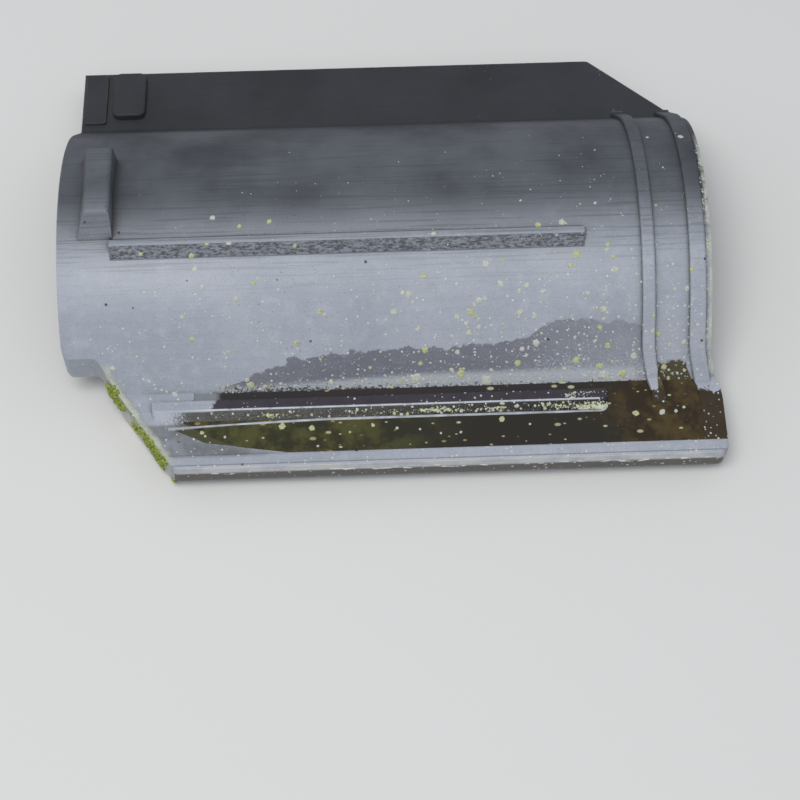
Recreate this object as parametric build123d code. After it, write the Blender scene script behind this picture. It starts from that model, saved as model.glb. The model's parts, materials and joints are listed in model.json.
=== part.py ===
from build123d import *
from math import atan2, asin, cos, degrees, hypot, radians, sin, sqrt, tan
import os

# Interlocking clay roof tile: one fired piece, lying on its weather face with its underside up.
# X runs along the tile from the head edge (-X) to the foot edge (+X), and Y across it from the
# cover-lap rim to the under-lap flange. Before the last turn, Y = 0 is the outer face of the rim
# and Z = 0 is its top.

# Overall size and body
length = 405.0            # head edge to the foot nose
width = 305.0             # rim face to flange edge
thickness = 13.0          # wall of the pan, measured square to the surface

# Cover lap: a low rim, then a trough that closes towards the head
rim_width = 9.0
rim_height = 9.0          # rim top above the trough floor
rim_wall_run = 5.0        # how far the inner wall of the rim leans out on its way down
trough_floor = 27.5
shelf_drop = 0.8          # the shelf that closes the trough, below the top of the rim
shelf_slope = 5.2         # climb of its top from the rim towards the pan
shelf_overlap = 12.5      # far side of the trough floor to where it ends inside the flank
shelf_back = 84.0         # head edge to its end behind the lock bar
shelf_end = 150.0         # head edge to where the shelf has narrowed to nothing
shelf_shoulder = 98.0     # head edge to its middle point
shelf_shoulder_width = 7.0
shelf_start = 70.0        # head edge to its end in front of the lock bar
shelf_start_width = 24.0
shelf_radius = 60.0
rim_arris = 1.6           # small rounding along the top of the rim
shoulder_radius = 9.0     # rounding of the cover edge on the weather side

# Pan: two straight flanks that run into one wide arc
near_flank_angle = 50.0
far_flank_angle = 47.0
crest_radius = 103.0
trough_radius = 8.0
rim_foot_radius = 4.5
crease_radius = 6.0
weather_crease_radius = 12.0

# Under lap: a thin flat flange with lock ribs on its weather side
flange_width = 51.0
flange_rise = 13.0        # underside of the flange above the top of the rim
flange_thickness = 8.0
lock_rib_height = 7.0
lock_rib_width = 10.0
lock_rib_inset = 37.0     # flange edge to the inner side of the inner lock rib
lock_rib_start = 152.0    # head edge to the end of the inner lock rib
edge_rib_width = 7.0
rib_draft = 1.5           # how much each side of a rib leans in

# Foot: a nose on the cover side and two weather bars across the underside
nose_reach = 6.0          # how far the cover side stands out past the rest of the foot edge
nose_width = 42.0
nose_blend = 20.0         # along the edge, from the end of the nose to the straight pan
nose_radius = 40.0
foot_bar_height = 3.0
foot_bar_arris = 1.4
outer_bar_inset = 4.0
outer_bar_width = 10.0
bar_channel = 21.0
inner_bar_width = 8.0
dam_drop = 0.5            # top of the dam that closes the trough, below the top of the rim
dam_rise = 4.0            # how far that top climbs from the rim to the near flank
dam_overlap = 10.5        # far side of the trough floor to where its top runs into the flank
ridge_end = 20.5          # rim to where the inner bar comes up out of the trough
ridge_tip = 26.0          # rim to where its top levels off
ridge_level = 1.8         # its top there, above the top of the rim

# Long bars on the underside
lock_bar_start = 53.5     # head edge to the end of the bar in the trough
lock_bar_length = 280.5
lock_bar_top = 7.4
lock_bar_stand = 13.5     # top of the bar above the trough floor
lock_bar_setback = 1.0    # near side of the trough floor to the foot of the bar's sloping front
lock_bar_lean = 23.0
rest_bar_start = 32.0
rest_bar_length = 290.0
rest_bar_top = 6.0
rest_bar_back = 123.0     # rim face to the back of the bar on the pan
rest_bar_lean = 5.0
rest_bar_stand = 3.0      # top of the bar above the pan at its back edge
bar_root = 2.0            # how deep the foot of a long bar is sunk in the wall
bar_end_radius = 3.0      # front corners of its ends
bar_arris = 1.0

# Hanging nib on the underside of the crest, and the blocks on the flange
nib_width = 64.0
nib_depth = 22.0
nib_height = 15.0
nib_inset = 12.0
nib_lean = 5.0
nib_radius = 3.0
band_depth = 15.0         # band along the head edge of the flange
band_height = 2.0
band_inset = 1.5
band_edge_gap = 1.5
band_radius = 2.5
pad_width = 38.0
pad_depth = 22.0
pad_height = 5.0
pad_inset = 20.5
pad_edge_gap = 3.0
pad_radius = 5.0
block_arris = 0.33        # rounding of a block's top edge, as a share of its height

# Head bars across the weather side of the pan
head_bar_height = 3.5
head_bar_width = 9.0
head_bar_inset = 16.0
head_bar_pitch = 25.0
head_bar_count = 2
head_bar_margin = 12.0    # bare strip between a head bar's end and the corner cut or the flange

# Corner cuts
head_cut_shoulder = 21.0  # straight length of edge left beside the head
head_cut_depth = 67.0
head_cut_run = 47.0
foot_cut_run = 55.0
foot_cut_depth = 52.0

# Roundings
foot_edge_radius = 6.0    # weather side of the foot edge
corner_radius = 5.0       # corners of the outline, in plan
tight_bend = 0.4          # least rounding of a bend that the wall would close up


def flank_corners():
    """Corners of the underside line from the rim to the flange edge, before any rounding."""
    floor_start = rim_width + rim_wall_run
    floor_end = floor_start + trough_floor
    crease = width - flange_width
    near, far = tan(radians(near_flank_angle)), tan(radians(far_flank_angle))
    floor_level = -rim_height
    apex_y = (flange_rise - floor_level + far * crease + near * floor_end) / (near + far)
    apex_z = floor_level + near * (apex_y - floor_end)
    return [
        (rim_width, 0.0),
        (floor_start, floor_level),
        (floor_end, floor_level),
        (apex_y, apex_z),
        (crease, flange_rise),
        (width, flange_rise),
    ]


def shifted_corners(corners, distance):
    """The same line of corners moved sideways, up for a positive distance, with the bends mitred."""
    moved = []
    for index, corner in enumerate(corners):
        before = corners[max(index - 1, 0)]
        after = corners[min(index + 1, len(corners) - 1)]
        first = atan2(corner[1] - before[1], corner[0] - before[0])
        second = atan2(after[1] - corner[1], after[0] - corner[0])
        if index == 0:
            first = second
        if index == len(corners) - 1:
            second = first
        middle = (first + second) / 2
        reach = distance / cos((second - first) / 2)
        moved.append((corner[0] - reach * sin(middle), corner[1] + reach * cos(middle)))
    return moved


corners = flank_corners()
crease_y = corners[4][0]
floor_far_y = corners[2][0]
bend_radii = [rim_foot_radius, trough_radius, crest_radius, crease_radius]
bend_sides = [1, 1, -1, 1]          # +1 where the underside bends upwards, -1 over the crest


def bent_line(distance):
    """The rounded underside line, moved sideways by a distance."""
    points = shifted_corners(corners, distance)
    radii = [radius - side * distance for radius, side in zip(bend_radii, bend_sides)]
    return points, [max(radius, tight_bend) for radius in radii]


def band_section(upper, lower, first, last):
    """Closed strip of the section between two shifted lines, cut off at two places along Y."""
    top_points, top_radii = bent_line(upper)
    low_points, low_radii = bent_line(lower)
    with BuildSketch(Plane.YZ) as sketch:
        with BuildLine():
            top = FilletPolyline(*top_points, radius=top_radii)
            low = FilletPolyline(*low_points, radius=low_radii)
            Line(top @ 0, low @ 0)
            Line(top @ 1, low @ 1)
        make_face()
        deep = 4 * width
        with Locations(((first + last) / 2, 0)):
            Rectangle(last - first, deep, mode=Mode.INTERSECT)
    return sketch.sketch


def wall_section():
    """Rim, trough, pan and flange in one closed section, with the top corners of the rim left sharp."""
    pan_points, pan_radii = bent_line(0)
    low_points, low_radii = bent_line(-thickness)
    floor_z = -rim_height - thickness
    flange_low = flange_rise - flange_thickness
    flank_end = low_points[3][0] + (low_points[3][1] - flange_low) / tan(radians(far_flank_angle))
    with BuildSketch(Plane.YZ) as sketch:
        with BuildLine():
            top = FilletPolyline(*pan_points, radius=pan_radii)
            low = FilletPolyline(
                (0, 0), (0, floor_z), (low_points[2][0], floor_z), low_points[3], (flank_end, flange_low),
                (width, flange_low),
                radius=[shoulder_radius, low_radii[1], low_radii[2], weather_crease_radius])
            Line(top @ 0, low @ 0)
            Line(top @ 1, low @ 1)
        make_face()
    return sketch.sketch


def lock_rib_section(outer_y, rib_width):
    """One tapered rib under the flange, with its outer side at outer_y."""
    root = flange_rise - flange_thickness / 2
    tip = flange_rise - flange_thickness - lock_rib_height
    with BuildSketch(Plane.YZ) as sketch:
        Polygon((outer_y - rib_width, root), (outer_y, root),
                (outer_y - rib_draft * (outer_y < width), tip),
                (outer_y - rib_width + rib_draft, tip), align=None)
    return sketch.sketch


def long_bar_section(front_y, back_y, level, foot_level, lean):
    """A long bar with a flat top and a leaning front, drawn down into the wall below it."""
    root = foot_level - bar_root
    root_y = front_y - lean * (level - root) / (level - foot_level)
    with BuildSketch(Plane.YZ) as sketch:
        Polygon((root_y, root), (front_y, level), (back_y, level), (back_y, root), align=None)
    return sketch.sketch


def along_x(section, start, run):
    """Extrude a section along the tile, from start for a run."""
    return extrude(section, run).moved(Location((start, 0, 0)))


def crest_centre():
    """Centre of the wide arc over the crest, as (y, z)."""
    apex_y, apex_z = corners[3]
    near, far = radians(near_flank_angle), radians(far_flank_angle)
    reach = crest_radius / cos((near + far) / 2)
    lean = (far - near) / 2
    return apex_y - reach * sin(lean), apex_z - reach * cos(lean)


def pan_level(y):
    """Height of the near flank or of the arc above it, at a place across the tile."""
    centre_y, centre_z = crest_centre()
    if y < centre_y - crest_radius * sin(radians(near_flank_angle)):
        return -rim_height + (y - floor_far_y) * tan(radians(near_flank_angle))
    return centre_z + sqrt(crest_radius ** 2 - (y - centre_y) ** 2)


def foot_corners(inset):
    """Corners of the foot line in plan, at both ends of the blend beside its nose."""
    nose_x = length / 2 - inset
    return (nose_x, nose_width), (nose_x - nose_reach, nose_width + nose_blend)


def outline():
    """Plan of the tile: a nose on the cover side of the foot, and two corners cut off."""
    head_x = -length / 2
    shoulder_x = head_x + head_cut_shoulder
    nose, blend = foot_corners(0)
    with BuildSketch() as sketch:
        with BuildLine():
            edge = FilletPolyline(
                (head_x, width / 2), (head_x, head_cut_depth), (shoulder_x, head_cut_depth),
                (shoulder_x + head_cut_run, 0), (nose[0], 0), nose, blend,
                (blend[0], width - foot_cut_depth), (blend[0] - foot_cut_run, width), (head_x, width),
                radius=[corner_radius] * 4 + [nose_radius] * 2 + [corner_radius] * 2)
            Line(edge @ 1, edge @ 0)
        make_face()
    return sketch.sketch


def foot_strip(inset, strip_width):
    """Plan strip that follows the foot line, nose and all, from an inset for a width."""
    edges = []
    for back in (inset, inset + strip_width):
        nose, blend = foot_corners(back)
        edges.append([(nose[0], 0), nose, blend, (blend[0], width)])
    with BuildSketch() as sketch:
        with BuildLine():
            outer = FilletPolyline(*edges[0], radius=nose_radius)
            inner = FilletPolyline(*edges[1], radius=nose_radius)
            Line(outer @ 0, inner @ 0)
            Line(outer @ 1, inner @ 1)
        make_face()
    return sketch.sketch


def tall(plan):
    """A plan shape drawn out far above and below the tile."""
    return extrude(plan, 2 * width, both=True)


def plain_wall(reach):
    """The section drawn out from the head edge to a reach, with its foot edge rounded below."""
    wall = along_x(wall_section(), -length / 2, length / 2 + reach)
    foot_face = wall.faces().sort_by(Axis.X)[-1]
    return fillet(foot_face.edges().sort_by(Axis.Z)[0], foot_edge_radius)


def wall():
    """Plain wall with the nose added at the foot, and the top of the rim rounded."""
    nose, blend = foot_corners(0)
    past_x, past_y = 2 * blend[0] - nose[0], 2 * blend[1] - nose[1]
    nose_plan = Polygon((nose[0], 0), nose, (past_x, past_y), (past_x, 0), align=None)
    body = plain_wall(length / 2 - nose_reach) + (plain_wall(length / 2) & tall(nose_plan))
    long_edges = body.edges().filter_by(Axis.X)
    rim_edges = [edge for edge in long_edges if abs(edge.center().Z) < rim_arris
                 and edge.center().Y < rim_width + rim_arris]
    return fillet(rim_edges, rim_arris)


def softened(bar, height):
    """A low bar that follows the underside, with its two top edges rounded."""
    points, radii = bent_line(0)
    with BuildLine(Plane.YZ) as line:
        FilletPolyline(*points, radius=radii)
    top_edges = []
    slack = height / 10                 # an edge that is this close to the top's height lies on the top
    for edge in bar.edges().filter_by(Axis.X, reverse=True):
        middle = edge.center()
        level = line.line.distance_to(Vector(0, middle.Y, middle.Z))
        if abs(level - height) < slack:
            top_edges.append(edge)
    return fillet(top_edges, foot_bar_arris)


def foot_bars():
    """The two weather bars across the underside, from the trough floor to the crease."""
    floor_start = rim_width + rim_wall_run
    band = band_section(foot_bar_height, -thickness / 2, floor_start, crease_y + crease_radius / 2)
    blank = along_x(band, length / 4, length / 4)
    inner_inset = outer_bar_inset + outer_bar_width + bar_channel
    outer = blank & tall(foot_strip(outer_bar_inset, outer_bar_width))
    inner = blank & tall(foot_strip(inner_inset, inner_bar_width))
    return [softened(bar, foot_bar_height) for bar in (outer, inner)]


def trough_block(top_line, inset, strip_width):
    """A block across the trough, under a line of (y, z) points, that follows the foot line in plan."""
    root = -rim_height - bar_root
    with BuildSketch(Plane.YZ) as sketch:
        Polygon((top_line[0][0], root), *top_line, (top_line[-1][0], root), align=None)
    return along_x(sketch.sketch, length / 4, length / 4) & tall(foot_strip(inset, strip_width))


def trough_dam():
    """The foot end of the trough, closed by the outer bar, which runs on level to the rim."""
    flank_y = floor_far_y + dam_overlap
    top_line = [(rim_width / 2, -dam_drop), (rim_width, -dam_drop), (flank_y, dam_rise - dam_drop)]
    return trough_block(top_line, 0, outer_bar_inset + outer_bar_width)


def inner_ridge():
    """The inner bar, which comes up out of the trough and runs on up the flank."""
    flank_y = floor_far_y + dam_overlap
    top_line = [(rim_width + ridge_end, -rim_height), (rim_width + ridge_tip, ridge_level),
                (flank_y, pan_level(flank_y) + foot_bar_height)]
    return trough_block(top_line, outer_bar_inset + outer_bar_width + bar_channel, inner_bar_width)


def head_bars():
    """The two bars across the weather side of the pan, near the head."""
    first = head_cut_depth + head_bar_margin
    last = crease_y - head_bar_margin
    band = band_section(-thickness / 2, -thickness - head_bar_height, first, last)
    starts = [head_bar_inset + count * head_bar_pitch for count in range(head_bar_count)]
    return [along_x(band, start - length / 2, head_bar_width) for start in starts]


def long_bar(section, start, run):
    """A long bar from a distance behind the head edge, with the front corners of its ends rounded."""
    bar = along_x(section, start - length / 2, run)
    standing = [edge for edge in bar.edges() if edge.bounding_box().size.Z > bar_root]
    front_corners = sorted(standing, key=lambda edge: edge.center().Y)[:2]
    bar = fillet(front_corners, bar_end_radius)
    return fillet(bar.faces().sort_by(Axis.Z)[-1].edges(), bar_arris)


def long_bars():
    """The lock bar in the trough and the rest bar on the near flank."""
    lock_front = rim_width + rim_wall_run + lock_bar_setback + lock_bar_lean
    lock_level = -rim_height + lock_bar_stand
    lock = long_bar_section(lock_front, lock_front + lock_bar_top, lock_level, -rim_height, lock_bar_lean)
    rest_front = rest_bar_back - rest_bar_top
    rest_level = pan_level(rest_bar_back) + rest_bar_stand
    rest_foot = pan_level(rest_front - rest_bar_lean)
    rest = long_bar_section(rest_front, rest_bar_back, rest_level, rest_foot, rest_bar_lean)
    return [
        long_bar(lock, lock_bar_start, lock_bar_length),
        long_bar(rest, rest_bar_start, rest_bar_length),
    ]


def trough_shelf():
    """The shelf that closes the trough towards the head, with the lock bar's end standing on it."""
    head_x = -length / 2
    inside_rim, far_y = rim_width / 2, floor_far_y + shelf_overlap
    front_y, shoulder_y = rim_width + shelf_start_width, rim_width + shelf_shoulder_width
    with BuildSketch() as plan:
        with BuildLine():
            edge = FilletPolyline(
                (head_x, far_y), (head_x + shelf_back, far_y), (head_x + shelf_start, front_y),
                (head_x + shelf_shoulder, shoulder_y), (head_x + shelf_end, rim_width),
                radius=[corner_radius, corner_radius, shelf_radius])
            Polyline(edge @ 1, (head_x + shelf_end, inside_rim), (head_x, inside_rim), edge @ 0)
        make_face()
    root = -rim_height - bar_root
    far_z = (far_y - rim_width) * tan(radians(shelf_slope)) - shelf_drop
    with BuildSketch(Plane.YZ) as section:
        Polygon((inside_rim, root), (inside_rim, -shelf_drop), (rim_width, -shelf_drop),
                (far_y, far_z), (far_y, root), align=None)
    return along_x(section.sketch, head_x, shelf_end) & tall(plan.sketch)


def hanging_nib():
    """Block on the crest that hooks over the batten: square on the foot side, leaning on the others."""
    top_y, centre_z = crest_centre()
    top_z = centre_z + crest_radius
    sunk = thickness / 2
    head_x = nib_inset - length / 2
    foot_x = head_x + nib_depth
    base_z, tip_z = top_z - sunk, top_z + nib_height
    lean = nib_lean * (nib_height + sunk) / nib_height
    near_y, far_y = top_y - nib_width / 2, top_y + nib_width / 2
    side = Plane.XZ * Polygon((head_x, base_z), (foot_x, base_z), (foot_x, tip_z), (head_x + lean, tip_z),
                              align=None)
    front = Plane.YZ * Polygon((near_y, base_z), (far_y, base_z), (far_y - lean, tip_z),
                               (near_y + lean, tip_z), align=None)
    nib = extrude(side, width, both=True) & extrude(front, length, both=True)
    return fillet(nib.faces().sort_by(Axis.Z)[-1].edges(), nib_radius)


def flange_block(inset, depth, block_width, edge_gap, height, radius):
    """Low block on the underside of the flange, with rounded corners and a rounded top edge."""
    centre = (inset + depth / 2 - length / 2, width - edge_gap - block_width / 2)
    sunk = flange_thickness / 2
    plan = Plane((*centre, flange_rise - sunk)) * RectangleRounded(depth, block_width, radius)
    block = extrude(plan, sunk + height)
    return fillet(block.faces().sort_by(Axis.Z)[-1].edges(), height * block_arris)


def flange_blocks():
    """The band along the head edge of the flange, and the pad beside it."""
    band_span = flange_width - crease_radius - band_edge_gap
    return [
        flange_block(band_inset, band_depth, band_span, band_edge_gap, band_height, band_radius),
        flange_block(pad_inset, pad_depth, pad_width, pad_edge_gap, pad_height, pad_radius),
    ]


def rest_turn():
    """Angle that brings the trough and the lock ribs down to one level floor."""
    centre_y = floor_far_y + trough_radius * tan(radians(-near_flank_angle / 2))
    centre_z = -rim_height + trough_radius
    reach = trough_radius + thickness
    tip_y = width
    tip_z = flange_rise - flange_thickness - lock_rib_height
    away = hypot(tip_y - centre_y, tip_z - centre_z)
    return atan2(tip_z - centre_z, tip_y - centre_y) + asin(reach / away)


def roof_tile():
    """The whole tile as one solid, turned to lie as it rests."""
    tile = wall()
    tile += along_x(lock_rib_section(width, edge_rib_width), -length / 2, length)
    inner_rib = lock_rib_section(width - lock_rib_inset + lock_rib_width, lock_rib_width)
    tile += along_x(inner_rib, lock_rib_start - length / 2, length - lock_rib_start)
    for piece in (trough_shelf(), trough_dam(), inner_ridge()):
        tile += piece
    for piece in foot_bars() + head_bars() + long_bars() + flange_blocks() + [hanging_nib()]:
        tile += piece
    tile &= tall(outline())
    tile = tile.rotate(Axis.X, -degrees(rest_turn()))
    box = tile.bounding_box()
    return tile.moved(Location((-box.center().X, -box.center().Y, -box.min.Z)))


os.makedirs("parts", exist_ok=True)
tile = roof_tile()
solids = tile.solids()
print("solids", len(solids), "rest turn", round(degrees(rest_turn()), 2))
print("size", tile.bounding_box().size)
export_step(solids[0] if len(solids) == 1 else tile, "parts/roof_tile.step")
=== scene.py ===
# %% [markdown]
# A weathered roof tile, lying underside up
#
# The object is one large interlocking clay pantile, coloured dark grey all through and turned
# over, so that its ribbed underside shows. It has stood outdoors for a long time: rain lies in
# the trough beside the cover rim, the soaked clay round it is dark, and lichen, algae and moss
# have settled on it. The body of the tile is finished when this script starts, so the lesson is
# about what firing, weather and time put on it.

# %% The fixed frame
import json
import math
import random

import bmesh
import bpy
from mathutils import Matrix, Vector, noise
from mathutils.bvhtree import BVHTree


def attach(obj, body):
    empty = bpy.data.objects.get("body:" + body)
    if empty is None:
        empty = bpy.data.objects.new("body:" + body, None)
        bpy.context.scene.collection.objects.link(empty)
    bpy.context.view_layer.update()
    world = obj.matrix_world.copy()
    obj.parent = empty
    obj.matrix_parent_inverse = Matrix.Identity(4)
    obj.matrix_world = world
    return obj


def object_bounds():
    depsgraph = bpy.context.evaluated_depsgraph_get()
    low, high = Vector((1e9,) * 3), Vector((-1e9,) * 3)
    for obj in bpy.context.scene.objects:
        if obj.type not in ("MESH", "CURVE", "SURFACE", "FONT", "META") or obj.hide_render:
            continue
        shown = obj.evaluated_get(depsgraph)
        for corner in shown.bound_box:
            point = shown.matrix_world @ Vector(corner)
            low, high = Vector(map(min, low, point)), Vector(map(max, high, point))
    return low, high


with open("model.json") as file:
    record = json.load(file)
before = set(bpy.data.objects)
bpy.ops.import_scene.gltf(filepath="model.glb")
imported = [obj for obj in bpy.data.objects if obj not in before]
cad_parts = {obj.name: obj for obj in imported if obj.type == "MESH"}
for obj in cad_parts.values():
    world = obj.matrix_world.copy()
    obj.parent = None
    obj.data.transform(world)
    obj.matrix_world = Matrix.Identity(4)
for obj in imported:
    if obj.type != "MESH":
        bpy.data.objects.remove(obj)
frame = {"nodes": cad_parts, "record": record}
tile = frame["nodes"]["roof_tile"]
cad_low, cad_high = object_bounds()
print("tile box", [round(v, 4) for v in cad_low], [round(v, 4) for v in cad_high])

MM = 0.001
random.seed(11)

# %% [markdown]
# Colours are picked as sRGB hex values, the way a colour picker shows them. Blender's shaders
# work on linear light, so one function turns a hex value into a linear colour, and nothing else
# in the file converts a colour.


# %% Colour from a hex value
def srgb(hex_value):
    """Linear RGBA for an sRGB hex string such as 7d8188."""
    parts = [int(hex_value[place:place + 2], 16) / 255 for place in (0, 2, 4)]
    linear = [part / 12.92 if part <= 0.04045 else ((part + 0.055) / 1.055) ** 2.4 for part in parts]
    return linear + [1.0]


print("mid grey 808080 is", round(srgb("808080")[0], 3), "in linear light")

# %% [markdown]
# A material is a graph of nodes. Every node in this file is added by one helper. It takes the
# kind of node, what its inputs hold, which may be a number, a colour or another node's output,
# and the node's own settings. It gives back the output that the next node needs. Inputs are
# named or, where Blender repeats a name, given by number. Settings that come up again and again
# have a short name of their own. Materials and objects are begun by a helper each as well.


# %% Helpers for nodes, materials and objects
def add_node(tree, kind, inputs=None, output=0, **settings):
    """Add a shader node, fill or link its inputs, and return one of its outputs."""
    made = tree.nodes.new("ShaderNode" + kind)
    for name, value in settings.items():
        setattr(made, name, value)
    for name, value in (inputs or {}).items():
        if isinstance(value, bpy.types.NodeSocket):
            tree.links.new(value, made.inputs[name])
        else:
            made.inputs[name].default_value = value
    return made.outputs[output] if made.outputs else made


def new_material(name):
    """A material with an empty node tree."""
    material = bpy.data.materials.new(name)
    material.use_nodes = True
    material.node_tree.nodes.clear()
    return material, material.node_tree


def new_object(name, data):
    """An object in the scene that shows this data."""
    made = bpy.data.objects.new(name, data)
    bpy.context.scene.collection.objects.link(made)
    return made


SMOOTH = {"interpolation_type": "SMOOTHSTEP"}
COLOUR = {"data_type": "RGBA"}
NUMBER = {"data_type": "FLOAT"}
PLUS, MINUS, TIMES = {"operation": "ADD"}, {"operation": "SUBTRACT"}, {"operation": "MULTIPLY"}
TIMES_PLUS = {"operation": "MULTIPLY_ADD"}
LARGEST, WITHOUT_SIGN = {"operation": "MAXIMUM"}, {"operation": "ABSOLUTE"}

# %% [markdown]
# The weather lies on the tile in coats. A coat is a mask between 0 and 1 that mixes one colour
# into the last, and nearly every mask is a place on the tile with soft limits. Two functions take
# up that work. The first multiplies limits into a mask. The second lays a list of coats in order.


# %% Masks and coats
def region(tree, *limits):
    """Mask that is on where every limit holds.

    A limit is a source with the value at which it is off and the value at which it is fully on.
    Off is 0 and on is 1, unless two more numbers say what they are worth. A limit may also be a
    mask made before, or a plain number that weakens the mask.
    """
    mask = None
    for limit in limits:
        if isinstance(limit, tuple):
            limit = add_node(tree, "MapRange", dict(enumerate(limit)), **SMOOTH)
        mask = limit if mask is None else add_node(tree, "Math", {0: mask, 1: limit}, **TIMES)
    return mask


def away_from(tree, source, line):
    """How far a source is from one of its values, to either side."""
    gap = add_node(tree, "Math", {0: source, 1: line}, **MINUS)
    return add_node(tree, "Math", {0: gap}, **WITHOUT_SIGN)


def lay_coats(tree, under_coat, coats):
    """Mix coats over a colour: each is a mask with a tone, or with two tones and the noise between them."""
    for mask, tone, *mottle in coats:
        tone = srgb(tone)
        if mottle:
            tone = add_node(tree, "Mix", {0: mottle[1], 6: tone, 7: srgb(mottle[0])}, 2, **COLOUR)
        under_coat = add_node(tree, "Mix", {0: mask, 6: under_coat, 7: tone}, 2, **COLOUR)
    return under_coat


# %% [markdown]
# The camera stands where the photograph was taken from: above the near side, looking steeply down
# across the tile, almost square to its length. Its place and angles were worked out from the
# straight edges of the tile. A focal length of 1804.5 pixels in a picture of 800 pixels is a
# lens of 81 mm on a 36 mm sensor.

# %% Camera
picture_side = 800
focal_pixels = 1804.5
pitch_down = math.radians(62.54)
turn_right = math.radians(2.02)

camera_data = bpy.data.cameras.new("camera")
camera_data.sensor_width = 36.0
camera_data.lens = focal_pixels / picture_side * camera_data.sensor_width
camera = new_object("camera", camera_data)
camera.location = Vector((-14.3, -621.7, 1009.8)) * MM
camera.rotation_euler = (math.radians(90) - pitch_down, 0, -turn_right)
bpy.context.scene.camera = camera
bpy.context.view_layer.update()
print("lens", round(camera_data.lens, 1), "mm")

# %% [markdown]
# The light is that of a bright overcast day, the softest light there is. A pale world lights
# the tile from all round. One large lamp, high up and a little to the near side, stands for the
# brightest part of the sky. Its place matters for what is wet: the foot of the pan's flank
# mirrors it and turns bright, while level water mirrors the plain sky behind the tile and stays
# dark. The sky has one even tone for every kind of ray, so what is mirrored fits what is lit.

# %% World
bpy.context.scene.view_settings.view_transform = "Standard"
world = bpy.data.worlds.new("overcast")
bpy.context.scene.world = world
world.use_nodes = True
sky = world.node_tree
sky.nodes.clear()
sky_light = add_node(sky, "Background", {"Color": srgb("e8eef7"), "Strength": 0.66})
add_node(sky, "OutputWorld", {"Surface": sky_light})
print("world nodes", len(sky.nodes))

# %% Lamp
tile_middle = (cad_low + cad_high) / 2
lamp_data = bpy.data.lights.new("bright_sky", "AREA")
lamp_data.size = 1.3
lamp_data.energy = 31.0
lamp_data.color = srgb("fbfaf8")[:3]
lamp = new_object("bright_sky", lamp_data)
lamp.location = (-0.45, -0.55, 2.2)
lamp.rotation_euler = (tile_middle - lamp.location).to_track_quat("-Z", "Y").to_euler()
print("lamp", round((tile_middle - lamp.location).length, 2), "m from the tile")

# %% [markdown]
# The floor is plain and pale, with a barely visible cloud of tone, so that the tile and its soft
# shadow stand clear on it.

# %% Floor
floor_half = 6.0
floor_data = bpy.data.meshes.new("floor")
floor_corners = [(x * floor_half, y * floor_half, 0) for x, y in ((-1, -1), (1, -1), (1, 1), (-1, 1))]
floor_data.from_pydata(floor_corners, [], [(0, 1, 2, 3)])
floor = new_object("floor", floor_data)
floor_material, plaster = new_material("pale_floor")
floor_cloud = add_node(plaster, "TexNoise", {"Scale": 3.0, "Detail": 3.0})
floor_tone = add_node(plaster, "Mix", {0: floor_cloud, 6: srgb("cfcecb"), 7: srgb("d6d5d2")}, 2, **COLOUR)
floor_shader = add_node(plaster, "BsdfPrincipled", {"Base Color": floor_tone, "Roughness": 0.85, "IOR": 1.45})
add_node(plaster, "OutputMaterial", {"Surface": floor_shader})
floor_data.materials.append(floor_material)
print("floor", 2 * floor_half, "m wide")

# %% [markdown]
# Everything that grows or lies on the tile has to sit on its surface. A small probe finds that
# surface along a line of sight. The line may be a plumb line at a place in plan, or run from the
# camera through a pixel of the picture, which is how the larger spots get the places that they
# have on the real tile.

# %% Surface probe
tile_points = [vertex.co.copy() for vertex in tile.data.vertices]
tile_faces = [tuple(polygon.vertices) for polygon in tile.data.polygons]
tile_skin = BVHTree.FromPolygons(tile_points, tile_faces)


def probe(start, way):
    """Point and normal where a line of sight meets the tile, or None where it misses."""
    place, normal = tile_skin.ray_cast(start, way)[:2]
    return None if place is None else (place, normal)


def under(x, y):
    """Point and normal of the upper surface at a place in plan."""
    return probe(Vector((x, y, 1.0)), Vector((0, 0, -1)))


def aim_at(column, row):
    """Direction from the camera to what a pixel of the picture shows."""
    half = picture_side / 2
    aim = Vector(((column - half) / focal_pixels, (half - row) / focal_pixels, -1.0))
    aim.rotate(camera.rotation_euler)
    return aim.normalized()


picture_middle = probe(camera.location, aim_at(picture_side / 2, picture_side / 2))[0]
print("the middle of the picture shows", [round(v, 4) for v in picture_middle])

# %% [markdown]
# The places that the weather follows are lines along the tile: the inner side of the rim, the
# bar that stands in the trough, the foot of the pan's flank, and the two bars across the foot.
# They are written as distances from the tile's own box, in metres. The rim top comes from the
# part's record, and the rain stands level, a little below it. Three points in plan mark the shore
# of the rain water on the shelf at the head of the trough. A limit as sharp as a cut is one hair
# wide.

# %% Places on the tile
rim_top = [mount for mount in frame["record"]["mounts"] if mount["name"] == "cover_rim_top"][0]["pos_m"][2]
water_level = rim_top - 1.05 * MM
head, foot = cad_low.x, cad_high.x
rim_edge = cad_low.y
rim_inside = rim_edge + 10 * MM
bar_shore = rim_edge + 31.8 * MM
bar_arris = rim_edge + 39.2 * MM
flank_foot = rim_edge + 51.5 * MM
bar_head, bar_foot = head + 53.5 * MM, head + 334 * MM
soak_start = head + 92 * MM
shore_tip = (head + 62.7 * MM, rim_edge + 29.7 * MM)
shore_bend = (head + 86.7 * MM, rim_edge + 18.0 * MM)
shore_rim = (head + 138.3 * MM, rim_edge + 10.1 * MM)
foot_bar = head + 355.5 * MM
foot_gap = (head + 366 * MM, head + 384.5 * MM)
hair = 0.1 * MM
print("water level", round(water_level / MM, 2), "mm, rim top", round(rim_top / MM, 2), "mm")

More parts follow.
